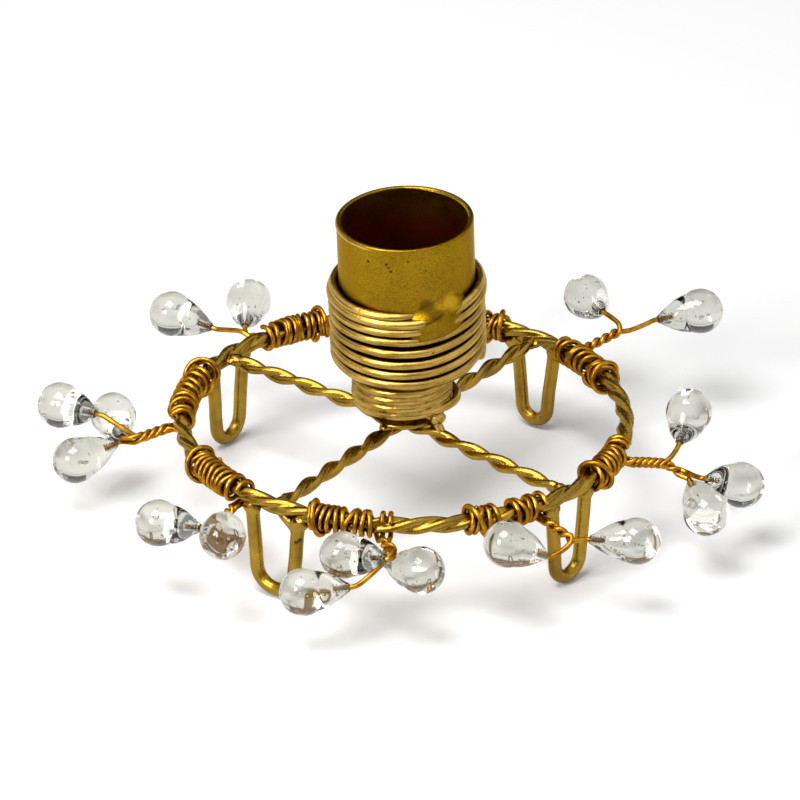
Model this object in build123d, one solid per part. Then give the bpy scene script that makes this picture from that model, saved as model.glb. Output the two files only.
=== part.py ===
from build123d import *
import math
import os

# Candle ring: a taper cup on a wound wire neck, in a ring of three twisted wires.
# Millimetres, +Z up. The origin is the ring's centre on the surface that it stands on,
# +X runs to the right and +Y to the back. A bearing is an angle about Z, from +X.

# The twisted ring
ring_radius = 39.2
ring_height = 17.7
ring_wire = 1.42
ring_wire_gap = 0.08
ring_twists = 13
ring_joint_gap = 0.3
ring_joint_bearing = 71.0

# The arms, two twisted wires each
arm_wire = 1.42
arm_wire_gap = 0.1
arm_lay = 13.8
arm_inner = 2.3
arm_end_gap = 0.15
arm_drop = 0.45

# The feet, a bent rod each
foot_rod = 2.45
foot_seat_gap = 0.1
foot_flare = 0.65
foot_flare_height = 2.6

# The candle cup
cup_diameter = 24.0
cup_wall = 0.8
cup_length = 28.15
cup_lip = 0.3
cup_lean = 3.17
cup_lean_bearing = 225.0
cup_shift = 1.4

# The wound wire round the cup and under it
winding_wire = 1.42
winding_pitch = 1.84
winding_seat = 0.1
cup_loops = 7.8
cup_winding_rise = 0.95
cup_winding_bearing = 350.0
neck_loops = 4.4
neck_radius = 8.4
neck_first_radius = 7.1
neck_shift = 0.3
neck_bearing = 312.0
neck_seat = 0.15

# The braze that joins the arms under the neck
braze_cap_radius = 5.0
braze_cap_height = 0.9
braze_dome = 0.5
braze_gap = 0.2

# The glass drops
drop_length = 12.6
drop_radius = 4.2
drop_tip_radius = 1.0
hole_radius = 0.5
hole_depth = 3.4

# The fine wires
fine_wire = 0.9
fine_gap = 0.1
fine_step = 1.37
fine_lead = 0.7
seat_depth = 3.0
pair_gap = 0.2
hook_turn = 240.0

# Places in a spray are shares of this reach, outward, along the ring and up
spray_reach = 10.0
gather_share = 0.4
stem_step_angle = 90.0

# Numbers of flats and of arcs that the wires are drawn with
strand_sides = 6
coil_sides = 8
fine_sides = 4
sections_per_twist = 8
spans_per_loop = 2
nudge_share = 0.0005
self_gap_limit = 0.4

# Each arm: the bearing of its line and the angle of its twist at the inner end
arm_places = {
    "front_right_arm": (317.2, 71.0),
    "front_left_arm": (236.0, 124.0),
    "back_left_arm": (143.9, 60.0),
    "back_right_arm": (52.6, 120.0),
}

# Each foot: bearing, half the width between its legs at the top and at the bottom bend
foot_places = {
    "front_right_foot": (317.2, 4.3, 3.2),
    "front_left_foot": (236.0, 4.9, 3.9),
    "back_left_foot": (143.9, 4.3, 3.4),
    "back_right_foot": (52.6, 4.2, 2.8),
}

# Each spray: the foot that it is placed from, its own place along the ring from there,
# and the turns of its wrap with their places, as shares of the reach. Then the angle round
# the ring at which the wires leave, each wire's place in line, the wires that run straight
# to their drop, the turn of the stem in degrees, the fork or forks as shares of the reach,
# and for each drop the tip as shares, the heading and the pitch. The wire in place 0 makes
# the wrap. A heading turns from outward towards a greater bearing.
spray_shares = {
    "back_left": {
        "foot": "back_left_foot",
        "middle": -0.814,
        "wrap": [(0, -2.217), (8, -1.115)],
        "leave": -60.0,
        "order": (0, 1),
        "direct": (),
        "turn": 60.0,
        "forks": [(0.32, -0.06, -0.06)],
        "drops": [((1.09, 0.16, -0.12), 25.0, 8.0), ((0.62, -0.20, -0.02), -45.0, 6.0)],
    },
    "left": {
        "foot": "back_left_foot",
        "middle": 2.675,
        "wrap": [(0, 0.691), (7, 2.367)],
        "leave": -85.0,
        "order": (1, 0, 2),
        "direct": (),
        "turn": -90.0,
        "forks": [(0.746, 0.088, -0.268)],
        "drops": [
            ((1.489, -0.319, 0.000), -38.6, -5.9),
            ((1.054, -0.003, -0.299), -79.7, 0.1),
            ((1.124, -0.376, -0.620), 21.7, -11.3),
        ],
    },
    "front_left": {
        "foot": "front_left_foot",
        "middle": -0.479,
        "wrap": [(0, -2.155), (9, -0.855)],
        "leave": -85.0,
        "order": (0, 1),
        "direct": (),
        "turn": -340.0,
        "forks": [(0.68, -0.12, -0.22)],
        "drops": [((1.06, -0.25, -0.27), -72.0, -6.0), ((0.82, 0.15, -0.22), 36.0, 20.0)],
    },
    "front": {
        "foot": "front_left_foot",
        "middle": 2.258,
        "wrap": [(0, 0.698), (8, 1.847)],
        "leave": -75.0,
        "order": (1, 0, 2),
        "direct": (2,),
        "turn": -240.0,
        "forks": [(0.740, -0.079, -0.070)],
        "drops": [
            ((1.146, -0.172, -0.020), -114.0, -8.7),
            ((1.341, -0.777, -0.470), -95.8, -11.1),
            ((0.521, -0.217, -0.475), 51.5, 12.6),
        ],
    },
    "front_right": {
        "foot": "front_right_foot",
        "middle": -0.766,
        "wrap": [(0, -2.100), (4, -1.533), (5, -1.293), (8, -0.821)],
        "leave": -90.0,
        "order": (0, 1),
        "direct": (),
        "turn": -300.0,
        "forks": [(0.86, 0.09, -0.27)],
        "drops": [((0.87, -0.40, -0.47), -106.0, 27.0), ((1.02, 0.36, -0.32), 52.0, 0.0)],
    },
    "right": {
        "foot": "front_right_foot",
        "middle": 1.834,
        "wrap": [(0, 0.643), (6, 1.628)],
        "leave": -90.0,
        "order": (2, 1, 0),
        "direct": (),
        "turn": -350.0,
        "last_angle": 60.0,
        "last_turn": -90.0,
        "forks": [(0.810, 0.100, -0.220), (1.086, 0.092, -0.332)],
        "drops": [
            ((0.957, 0.578, -0.038), 92.1, 15.2),
            ((1.617, -0.156, -0.253), 47.7, -23.4),
            ((1.308, -0.015, -0.411), -54.0, -14.9),
        ],
    },
    "back_right": {
        "foot": "back_right_foot",
        "middle": -1.136,
        "wrap": [(0, -2.059), (7, -0.780)],
        "leave": -75.0,
        "order": (0, 1),
        "direct": (),
        "turn": -380.0,
        "forks": [(1.14, 0.35, 0.08)],
        "drops": [((1.19, 0.90, 0.23), 75.0, -6.0), ((1.97, 0.32, 0.08), -20.0, 5.0)],
    },
    "back": {
        "foot": "back_right_foot",
        "middle": 2.422,
        "wrap": [(0, 0.643), (6, 1.806)],
        "leave": -85.0,
        "order": (2, 1, 0),
        "direct": (),
        "turn": -150.0,
        "forks": [(0.669, -0.127, -0.205)],
        "drops": [
            ((0.894, -0.455, -0.070), -28.0, 8.0),
            ((0.950, 0.316, -0.175), 32.0, 4.0),
            ((1.047, -0.037, -0.557), 2.0, -12.0),
        ],
    },
}

# Sizes worked out from the ones above
strand_offset = (ring_wire + ring_wire_gap) / math.sqrt(3)
ring_envelope = strand_offset + ring_wire / 2
arm_offset = (arm_wire + arm_wire_gap) / 2
arm_envelope = arm_offset + arm_wire / 2
arm_height = ring_height - arm_drop
arm_outer = ring_radius - ring_envelope - arm_end_gap
arm_top = arm_height + arm_envelope
cup_radius = cup_diameter / 2
cup_winding_radius = cup_radius + winding_seat + winding_wire / 2
neck_start = arm_top + neck_seat + winding_wire / 2
neck_top = neck_start + neck_loops * winding_pitch + winding_wire / 2
lean_slope = math.tan(math.radians(cup_lean))
cup_base_height = neck_top + neck_seat + lean_slope * (neck_radius + winding_wire / 2 + cup_shift + neck_shift)
wrap_radius = ring_envelope + fine_gap + fine_wire / 2
step_angle = math.degrees(fine_step / ring_radius)
stem_spreads = {2: (fine_wire + pair_gap) / 2, 3: (fine_wire + pair_gap) / math.sqrt(3)}

# The angle in the stem at which each wire gathers, by its place along the ring
gather_angles = {2: (180, 0), 3: (150, 270, 30)}

up = Vector(0, 0, 1)


def outward(bearing):
    return Vector(math.cos(math.radians(bearing)), math.sin(math.radians(bearing)), 0)


def along(bearing):
    return Vector(-math.sin(math.radians(bearing)), math.cos(math.radians(bearing)), 0)


def ring_point(bearing, out, side, rise):
    """A point by its distances from the ring's centreline at a bearing."""
    return outward(bearing) * (ring_radius + out) + along(bearing) * side + up * (ring_height + rise)


def direction(bearing, heading, pitch):
    """The unit vector that heads away from the ring at a bearing, raised by pitch."""
    level = math.cos(math.radians(pitch))
    flat = outward(bearing) * math.cos(math.radians(heading)) + along(bearing) * math.sin(math.radians(heading))
    return flat * level + up * math.sin(math.radians(pitch))


def biarc_joint(start, start_way, end, end_way):
    """Where the two equal-reach arcs from start to end meet, and their direction there."""
    chord = end - start
    ways = start_way + end_way
    square = ways.dot(ways) - 4
    linear = -2 * chord.dot(ways)
    constant = chord.dot(chord)
    if abs(square) < 1e-9:
        reach = -constant / linear
    else:
        reach = (-linear - math.sqrt(linear * linear - 4 * square * constant)) / (2 * square)
    first_corner = start + start_way * reach
    last_corner = end - end_way * reach
    return (first_corner + last_corner) / 2, (last_corner - first_corner).normalized()


def arc_or_line(start, way, end):
    if way.cross((end - start).normalized()).length < 1e-6:
        return Edge.make_line(start, end)
    return Edge.make_tangent_arc(start, way, end)


def smooth_wire(stations):
    """A wire through (point, direction) stations, two tangent arcs between each two."""
    edges = []
    for (start, start_way), (end, end_way) in zip(stations, stations[1:]):
        joint, joint_way = biarc_joint(start, start_way, end, end_way)
        edges.append(arc_or_line(start, start_way, joint))
        edges.append(arc_or_line(joint, joint_way, end))
    return Wire(edges)


def curve_stations(point_at, count):
    """Stations at even steps along point_at, which runs from 0 to 1."""
    stations = []
    for index in range(count + 1):
        share = index / count
        way = (point_at(share + nudge_share) - point_at(share - nudge_share)).normalized()
        stations.append((point_at(share), way))
    return stations


def tube(stations, width, sides):
    """One unbroken tube of flats along the stations."""
    start, start_way = stations[0]
    profile = Plane(origin=start, z_dir=start_way) * RegularPolygon(width / 2, sides)
    return sweep(profile, path=smooth_wire(stations), clean=False)


def strand(point_at, sections, width, sides):
    """A gently twisting wire: a ruled loft through even sections square to its path."""
    stations = curve_stations(point_at, sections)
    flat = stations[0][1].cross(up).normalized()
    profiles = []
    for point, way in stations:
        flat = (flat - way * flat.dot(way)).normalized()
        profiles.append(Plane(origin=point, x_dir=flat, z_dir=way) * RegularPolygon(width / 2, sides))
    return loft(profiles, ruled=True)


def print_self_gap(name, stations, width, loop_radius):
    """Measure the least gap between a tube's turns on points along its path."""
    path = smooth_wire(stations)
    count = int(path.length / width) * 2
    points = [path.position_at(index / count) for index in range(count + 1)]
    apart = math.ceil(math.pi * loop_radius / path.length * count)
    least = path.length
    for index, point in enumerate(points):
        for other in points[index + apart:]:
            least = min(least, (point - other).length)
    radii = [edge.radius for edge in path.edges() if edge.geom_type == GeomType.CIRCLE]
    print(name, "least gap to itself", round(least - width, 3), "over", self_gap_limit,
          "tightest arc", round(min(radii), 2))


def write(name, shape):
    shape.label = name
    export_step(shape, "parts/" + name + ".step")


def ring_strand(number):
    """One of the three wires of the ring, twisted left-handed about its centreline."""
    gap_angle = math.degrees(ring_joint_gap / ring_radius)
    sweep_angle = 360.0 - gap_angle

    def point_at(share):
        bearing = ring_joint_bearing + gap_angle / 2 + sweep_angle * share
        phase = math.radians(number * 120 + ring_twists * bearing)
        return ring_point(bearing, strand_offset * math.cos(phase), 0, strand_offset * math.sin(phase))

    return strand(point_at, ring_twists * sections_per_twist, ring_wire, strand_sides)


def arm(bearing, first_angle):
    """Two wires twisted left-handed, from the hub out to the ring."""
    length = arm_outer - arm_inner
    sections = math.ceil(length / arm_lay * sections_per_twist)
    wires = []
    for half_turn in (0, 180):
        def point_at(share):
            angle = math.radians(first_angle + half_turn - 360 * share * length / arm_lay)
            side = along(bearing) * arm_offset * math.cos(angle)
            rise = up * (arm_height + arm_offset * math.sin(angle))
            return outward(bearing) * (arm_inner + length * share) + side + rise
        wires.append(strand(point_at, sections, arm_wire, strand_sides))
    return Compound(children=wires)


def foot(bearing, top_half_width, bottom_half_width):
    """A rod bent to a hairpin under the ring, each top flared where it is brazed on."""
    frame = Plane(origin=outward(bearing) * ring_radius, x_dir=along(bearing), z_dir=outward(bearing))
    bend_centre = foot_rod / 2 + bottom_half_width
    seat_height = ring_height - ring_envelope - foot_seat_gap
    shaft_height = seat_height - foot_flare_height
    run = math.hypot(top_half_width, seat_height - bend_centre)
    tilt = math.atan2(top_half_width, seat_height - bend_centre) - math.asin(bottom_half_width / run)
    leg_way = (math.sin(tilt), math.cos(tilt))
    touch = (bottom_half_width * math.cos(tilt), bend_centre - bottom_half_width * math.sin(tilt))

    def on_leg(height):
        return touch[0] + (height - touch[1]) * leg_way[0] / leg_way[1], height

    def in_frame(side, height):
        return frame.from_local_coords(Vector(side, height, 0))

    shoulder = on_leg(shaft_height)
    seat = on_leg(seat_height)
    left_leg = Edge.make_line(in_frame(-shoulder[0], shoulder[1]), in_frame(-touch[0], touch[1]))
    bend = Edge.make_three_point_arc(
        in_frame(-touch[0], touch[1]), in_frame(0, foot_rod / 2), in_frame(touch[0], touch[1]))
    right_leg = Edge.make_line(in_frame(touch[0], touch[1]), in_frame(shoulder[0], shoulder[1]))
    path = Wire([left_leg, bend, right_leg])
    section = Plane(origin=path.position_at(0), z_dir=path.tangent_at(0)) * Circle(foot_rod / 2)
    body = sweep(section, path=path)
    for hand in (-1, 1):
        shaft_plane = Plane(origin=in_frame(hand * shoulder[0], shoulder[1]), x_dir=along(bearing), z_dir=up)
        seat_plane = Plane(origin=in_frame(hand * seat[0], seat[1]), x_dir=along(bearing), z_dir=up)
        stretch = foot_rod / math.cos(tilt)
        lower = shaft_plane * Ellipse(stretch / 2, foot_rod / 2)
        upper = seat_plane * Ellipse((stretch + foot_flare) / 2, foot_rod / 2)
        body = body + loft([lower, upper], ruled=True)
    return body


def cup_plane():
    """The cup's own frame, at the middle of its underside and leaning with it."""
    lean = math.radians(cup_lean)
    axis = outward(cup_lean_bearing) * math.sin(lean) + up * math.cos(lean)
    base = outward(cup_lean_bearing) * -cup_shift + up * cup_base_height
    return Plane(origin=base, x_dir=(axis.cross(Vector(0, 1, 0))) * -1, z_dir=axis)


def candle_cup():
    """A drawn cup: closed bottom, straight wall and a slightly rounded lip."""
    inner = cup_radius - cup_wall
    body = Cylinder(cup_radius, cup_length, align=(Align.CENTER, Align.CENTER, Align.MIN))
    bore = Cylinder(inner, cup_length, align=(Align.CENTER, Align.CENTER, Align.MIN))
    body = body - Pos(0, 0, cup_wall) * bore
    rims = body.edges().filter_by(GeomType.CIRCLE).group_by(Axis.Z)[-1]
    body = fillet(rims, cup_lip)
    base_edge = body.edges().filter_by(GeomType.CIRCLE).group_by(Axis.Z)[0]
    body = fillet(base_edge, cup_wall)
    return cup_plane().location * body


def cup_winding_stations():
    frame = cup_plane()
    start = math.radians(cup_winding_bearing)

    def point_at(share):
        angle = start + 2 * math.pi * cup_loops * share
        height = cup_winding_rise + winding_pitch * cup_loops * share
        local = Vector(cup_winding_radius * math.cos(angle), cup_winding_radius * math.sin(angle), height)
        return frame.from_local_coords(local)

    return curve_stations(point_at, math.ceil(cup_loops * spans_per_loop))


def neck_winding_stations():
    start = math.radians(neck_bearing)

    def point_at(share):
        turns = neck_loops * share
        widening = min(max(turns, 0), 1)
        radius = neck_first_radius + (neck_radius - neck_first_radius) * widening
        angle = start + 2 * math.pi * turns
        return Vector(radius * math.cos(angle) - neck_shift, radius * math.sin(angle),
                      neck_start + winding_pitch * turns)

    return curve_stations(point_at, math.ceil(neck_loops * spans_per_loop))


def hub_braze():
    """The braze: a plug between the arms' inner ends under a low domed cap."""
    plug_radius = arm_inner - braze_gap
    plug_bottom = arm_height - arm_envelope
    cap_bottom = arm_top + braze_gap
    cap_edge = cap_bottom + braze_cap_height - braze_dome
    cap_top = cap_bottom + braze_cap_height
    sphere_radius = (braze_cap_radius ** 2 + braze_dome ** 2) / (2 * braze_dome)
    half = math.asin(braze_cap_radius / sphere_radius) / 2
    dome_middle = (sphere_radius * math.sin(half), 0, cap_top - sphere_radius * (1 - math.cos(half)))
    outline = [
        Edge.make_line((0, 0, plug_bottom), (plug_radius, 0, plug_bottom)),
        Edge.make_line((plug_radius, 0, plug_bottom), (plug_radius, 0, cap_bottom)),
        Edge.make_line((plug_radius, 0, cap_bottom), (braze_cap_radius, 0, cap_bottom)),
        Edge.make_line((braze_cap_radius, 0, cap_bottom), (braze_cap_radius, 0, cap_edge)),
        Edge.make_three_point_arc((braze_cap_radius, 0, cap_edge), dome_middle, (0, 0, cap_top)),
        Edge.make_line((0, 0, cap_top), (0, 0, plug_bottom)),
    ]
    return revolve(Face(Wire(outline)), axis=Axis.Z)


def glass_drop_blank():
    """A drop lying along +X from its tip at the origin, with the blind hole for its wire."""
    belly = drop_length - drop_radius
    slope = math.asin((drop_radius - drop_tip_radius) / (belly - drop_tip_radius))
    tip_touch = (drop_tip_radius * (1 - math.sin(slope)), drop_tip_radius * math.cos(slope))
    belly_touch = (belly - drop_radius * math.sin(slope), drop_radius * math.cos(slope))
    half = math.radians(45) - slope / 2
    tip_middle = (drop_tip_radius * (1 - math.sin(slope + half)), drop_tip_radius * math.cos(slope + half))
    hole_start = drop_tip_radius - math.sqrt(drop_tip_radius ** 2 - hole_radius ** 2)
    outline = [
        Edge.make_line((hole_start, hole_radius), (hole_depth, hole_radius)),
        Edge.make_line((hole_depth, hole_radius), (hole_depth, 0)),
        Edge.make_line((hole_depth, 0), (drop_length, 0)),
        Edge.make_three_point_arc((drop_length, 0), (belly, drop_radius), belly_touch),
        Edge.make_line(belly_touch, tip_touch),
        Edge.make_three_point_arc(tip_touch, tip_middle, (hole_start, hole_radius)),
    ]
    return revolve(Face(Wire(outline)), axis=Axis.X)


def hermite(start, start_way, end, end_way, share):
    """A smooth curve from start to end that follows both directions."""
    reach = (end - start).length
    square = share * share
    cube = square * share
    return (start * (2 * cube - 3 * square + 1) + start_way * reach * (cube - 2 * square + share)
            + end * (3 * square - 2 * cube) + end_way * reach * (cube - square))


def stem_stations(start, start_way, end, end_way, spread, first_angle, turn):
    """Stations of one wire of a twisted stem, which gathers before its turns begin."""

    def point_at(share):
        middle = hermite(start, start_way, end, end_way, share)
        ahead = hermite(start, start_way, end, end_way, share + nudge_share)
        way = (ahead - middle).normalized()
        side = up.cross(way).normalized()
        angle = math.radians(first_angle + turn * (share - gather_share) / (1 - gather_share))
        return middle + (side * math.cos(angle) + way.cross(side) * math.sin(angle)) * spread

    count = math.ceil(abs(turn) / stem_step_angle)
    stations = []
    for index in range(count + 1):
        share = gather_share + (1 - gather_share) * index / count
        way = (point_at(share + nudge_share) - point_at(share - nudge_share)).normalized()
        stations.append((point_at(share), way))
    return stations


def wrap_stations(knots, leave_angle):
    """The turns of a wrap round the ring, up to the angle at which the wire leaves it."""
    loops = knots[-1][0]

    def bearing_at(turn):
        for (low, low_bearing), (high, high_bearing) in zip(knots, knots[1:]):
            if turn <= high or high == loops:
                return low_bearing + (high_bearing - low_bearing) * (turn - low) / (high - low)

    def point_at(share):
        phase = math.radians(leave_angle + 360 * loops * (share - 1))
        bearing = bearing_at(loops * share)
        return ring_point(bearing, wrap_radius * math.cos(phase), 0, wrap_radius * math.sin(phase))

    return curve_stations(point_at, loops * spans_per_loop)


def hook_stations(bearing, leave_angle):
    """A part of one turn over the ring, which holds the other wires of a spray."""

    def point_at(share):
        phase = math.radians(leave_angle + hook_turn * (share - 1))
        return ring_point(bearing, wrap_radius * math.cos(phase), 0, wrap_radius * math.sin(phase))

    return curve_stations(point_at, 2)


def bearing_from(foot_name, share):
    """The bearing of a place along the ring from a foot, in shares of the reach."""
    return foot_places[foot_name][0] + math.degrees(share * spray_reach / ring_radius)


def spray_wires(spray):
    """The stations of every wire of a spray: wrap or hook, twisted stem, branch and seat."""
    bearing = bearing_from(spray["foot"], spray["middle"])
    drops = spray["drops"]
    count = len(drops)
    knots = [(turn, bearing_from(spray["foot"], share)) for turn, share in spray["wrap"]]
    last_wrap = knots[-1][1]
    exits = []
    for place in spray["order"]:
        if place == 0:
            exits.append(wrap_stations(knots, spray["leave"]))
        else:
            exits.append(hook_stations(last_wrap + place * step_angle, spray["leave"]))
    twisted = [number for number in range(count) if number not in spray["direct"]]
    places = sorted(spray["order"][number] for number in twisted)
    root = sum((exits[number][-1][0] for number in twisted[1:]), exits[twisted[0]][-1][0]) / len(twisted)
    root_bearing = last_wrap + sum(places) / len(places) * step_angle
    root_way = direction(root_bearing, 0, spray["leave"] + 90)
    forks = [ring_point(bearing, *(share * spray_reach for share in fork)) for fork in spray["forks"]]
    first_way = (forks[0] - root).normalized()
    if len(forks) > 1:
        first_way = (forks[1] - root).normalized()
    wires = []
    for number, (tip_share, heading, pitch) in enumerate(drops):
        stations = list(exits[number])
        if number in twisted:
            spread = stem_spreads[len(twisted)]
            first_angle = gather_angles[len(twisted)][places.index(spray["order"][number])]
            stations += stem_stations(root, root_way, forks[0], first_way, spread, first_angle, spray["turn"])
        if len(forks) > 1 and number > 0:
            way = (forks[1] - forks[0]).normalized()
            stations += stem_stations(
                forks[0], first_way, forks[1], way, stem_spreads[2], spray["last_angle"] + 180 * number, spray["last_turn"])
        tip = ring_point(bearing, *(share * spray_reach for share in tip_share))
        way = direction(bearing, heading, pitch)
        stations.append((tip - way * fine_lead, way))
        stations.append((tip + way * seat_depth, way))
        wires.append(stations)
    return wires


def placed_drop(blank, spray, number):
    bearing = bearing_from(spray["foot"], spray["middle"])
    tip_share, heading, pitch = spray["drops"][number]
    tip = ring_point(bearing, *(share * spray_reach for share in tip_share))
    way = direction(bearing, heading, pitch)
    return Plane(origin=tip, x_dir=way, z_dir=way.cross(up.cross(way))).location * blank


os.makedirs("parts", exist_ok=True)

for number in range(3):
    write("ring_strand_" + str(number + 1), ring_strand(number))

for name, (bearing, first_angle) in arm_places.items():
    write(name, arm(bearing, first_angle))

for name, (bearing, top_half_width, bottom_half_width) in foot_places.items():
    write(name, foot(bearing, top_half_width, bottom_half_width))

write("candle_cup", candle_cup())
write("hub_braze", hub_braze())

cup_turns = cup_winding_stations()
print_self_gap("cup_winding", cup_turns, winding_wire, cup_winding_radius)
write("cup_winding", tube(cup_turns, winding_wire, coil_sides))

neck_turns = neck_winding_stations()
print_self_gap("neck_winding", neck_turns, winding_wire, neck_radius)
write("neck_winding", tube(neck_turns, winding_wire, coil_sides))

drop_blank = glass_drop_blank()
for spray_name, spray in spray_shares.items():
    for number, stations in enumerate(spray_wires(spray)):
        wire_name = spray_name + "_wire_" + str(number + 1)
        print_self_gap(wire_name, stations, fine_wire, wrap_radius)
        write(wire_name, tube(stations, fine_wire, fine_sides))
        write(spray_name + "_drop_" + str(number + 1), placed_drop(drop_blank, spray, number))
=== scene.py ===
import math
import random
from collections import namedtuple

import bpy
from mathutils import Matrix, Vector, noise

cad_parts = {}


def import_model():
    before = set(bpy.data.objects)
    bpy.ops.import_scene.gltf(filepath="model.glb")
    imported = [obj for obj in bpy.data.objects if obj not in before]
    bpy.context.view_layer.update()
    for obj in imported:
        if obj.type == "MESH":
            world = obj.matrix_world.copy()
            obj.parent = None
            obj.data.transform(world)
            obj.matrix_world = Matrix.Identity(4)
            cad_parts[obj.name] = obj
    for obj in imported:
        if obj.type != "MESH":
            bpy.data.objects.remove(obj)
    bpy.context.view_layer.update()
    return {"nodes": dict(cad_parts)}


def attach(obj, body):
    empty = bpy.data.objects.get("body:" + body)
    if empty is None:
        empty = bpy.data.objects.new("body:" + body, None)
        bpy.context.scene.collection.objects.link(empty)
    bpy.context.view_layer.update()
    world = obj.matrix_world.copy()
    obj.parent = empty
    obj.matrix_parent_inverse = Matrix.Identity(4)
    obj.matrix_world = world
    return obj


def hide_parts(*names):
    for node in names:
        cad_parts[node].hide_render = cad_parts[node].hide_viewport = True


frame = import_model()

# Without a seed, noise_vector takes its offsets from the clock
noise.seed_set(1)

MM = 0.001
UP = Vector((0, 0, 1))

# Lengths are in millimetres and angles in degrees, except in the materials and the studio,
# which are in metres. A bearing runs from +X towards +Y. A wobble, or a lump's roughness, is
# a small shift that keeps the wires and the braze from looking machined.

RING_RADIUS = 39.2
RING_HEIGHT = 17.7
RING_TWISTS = 13
STRAND_OFFSET = 0.83
STRAND_RADIUS = 0.76

ARM_HEIGHT = 17.25
ARM_LAY = 13.8
ARM_OFFSET = 0.72
ARM_RADIUS = 0.73

THICK_WIRE_RADIUS = 0.88
SHORT_WIRE_RADIUS = 0.85
NECK_WIRE_RADIUS = 0.86
TAIL_RADIUS = 0.8
FINE_RADIUS = 0.46

# How far the ring's strands reach from their middle, and a wrap's wire runs from it
STRANDS_REACH = 1.575
WRAP_RADIUS = STRANDS_REACH + 0.44
# The way along the ring between two wires that leave it side by side, and its bearing
WIRE_STEP = 1.37
STEP_BEARING = math.degrees(WIRE_STEP / RING_RADIUS)
# The places in SPRAYS are in this unit
SPRAY_REACH = 10.0
# How far round the ring a hooked wire goes
HOOK_TURN = 240.0
# The share of a stem in which its wires come together, at its root and between two forks
GATHER = 0.32
FORK_GATHER = 0.3
# How far the two wires between two forks are twisted, and their first angle
FORK_TURN = -180
FORK_ANGLE = 60
# About how far a stem is twisted between two of its points
STEM_STEP = 22

# Each arm: its bearing and the angle of its twist near the middle
ARMS = {
    "front_right_arm": (317.2, 71.0),
    "front_left_arm": (236.0, 124.0),
    "back_left_arm": (143.9, 60.0),
    "back_right_arm": (52.6, 120.0),
}

# Each foot: bearing, rod radius, and half the width between its legs, top and bottom
FEET = {
    "front_right_foot": (317.2, 1.22, 4.3, 3.2),
    "front_left_foot": (236.0, 1.24, 4.9, 3.9),
    "back_left_foot": (143.9, 1.22, 4.3, 3.4),
    "back_right_foot": (52.6, 1.22, 4.2, 2.8),
}

# Webs of braze: a foot and its leg, and the side of the leg that the web is on
WEBS = {("front_left_foot", 1): -1, ("back_right_foot", 1): 1}

# bearing: where the spray is on the ring. wraps: each from, to and number of loops. leave:
# the angle round the ring at which the wires leave it. order: each wire's place along the
# ring. direct: the wires that miss the stem. turn: the twist of the stem. forks: where the
# wires part, out, along and up from the ring. drops: each tip, in the same way, and the
# heading and pitch of the drop
Spray = namedtuple("Spray", "bearing wraps leave order direct turn forks drops")
SPRAYS = {
    "back_left": Spray(
        bearing=132.0, wraps=((111.5, 127.6, 10),), leave=-60.0, order=(0, 1), direct=(),
        turn=200.0, forks=[(0.32, -0.06, -0.06)],
        drops=[((1.09, 0.16, -0.12), 25.0, 8.0), ((0.62, -0.20, -0.02), -45.0, 6.0)]),
    "left": Spray(
        bearing=183.0, wraps=((154.0, 178.5, 8),), leave=-85.0, order=(1, 0, 2), direct=(),
        turn=-420.0, forks=[(0.746, 0.088, -0.268)],
        drops=[((1.489, -0.319, 0.0), -38.6, -5.9), ((1.054, -0.003, -0.299), -79.7, 0.1),
               ((1.124, -0.376, -0.620), 21.7, -11.3)]),
    "front_left": Spray(
        bearing=229.0, wraps=((204.5, 223.5, 10),), leave=-85.0, order=(0, 1), direct=(),
        turn=-520.0, forks=[(0.68, -0.12, -0.22)],
        drops=[((1.06, -0.25, -0.27), -72.0, -6.0), ((0.82, 0.15, -0.22), 36.0, 20.0)]),
    "front": Spray(
        bearing=269.0, wraps=((246.2, 263.0, 10),), leave=-75.0, order=(1, 0, 2), direct=(2,),
        turn=-420.0, forks=[(0.740, -0.079, -0.070)],
        drops=[((1.146, -0.172, -0.020), -114.0, -8.7), ((1.341, -0.777, -0.470), -95.8, -11.1),
               ((0.521, -0.217, -0.475), 51.5, 12.6)]),
    "front_right": Spray(
        bearing=306.0, wraps=((286.5, 294.8, 4), (298.3, 305.2, 4)), leave=-90.0, order=(0, 1),
        direct=(), turn=-480.0, forks=[(0.86, 0.09, -0.27)],
        drops=[((0.87, -0.40, -0.47), -106.0, 27.0), ((1.02, 0.36, -0.32), 52.0, 0.0)]),
    "right": Spray(
        bearing=344.0, wraps=((326.6, 341.0, 7),), leave=-90.0, order=(2, 1, 0), direct=(),
        turn=-620.0, forks=[(0.810, 0.100, -0.220), (1.086, 0.092, -0.332)],
        drops=[((0.957, 0.578, -0.038), 92.1, 15.2), ((1.617, -0.156, -0.253), 47.7, -23.4),
               ((1.308, -0.015, -0.411), -54.0, -14.9)]),
    "back_right": Spray(
        bearing=36.0, wraps=((22.5, 41.2, 8),), leave=-75.0, order=(0, 1), direct=(),
        turn=-760.0, forks=[(1.14, 0.35, 0.08)],
        drops=[((1.19, 0.90, 0.23), 75.0, -6.0), ((1.97, 0.32, 0.08), -20.0, 5.0)]),
    "back": Spray(
        bearing=88.0, wraps=((62.0, 79.0, 7),), leave=-85.0, order=(2, 1, 0), direct=(),
        turn=-420.0, forks=[(0.669, -0.127, -0.205)],
        drops=[((0.894, -0.455, -0.070), -28.0, 8.0), ((0.950, 0.316, -0.175), 32.0, 4.0),
               ((1.047, -0.037, -0.557), 2.0, -12.0)]),
}


def outward(bearing):
    return Vector((math.cos(math.radians(bearing)), math.sin(math.radians(bearing)), 0))


def along(bearing):
    return Vector((-math.sin(math.radians(bearing)), math.cos(math.radians(bearing)), 0))


def axes_at(bearing):
    return outward(bearing), along(bearing), UP


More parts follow.
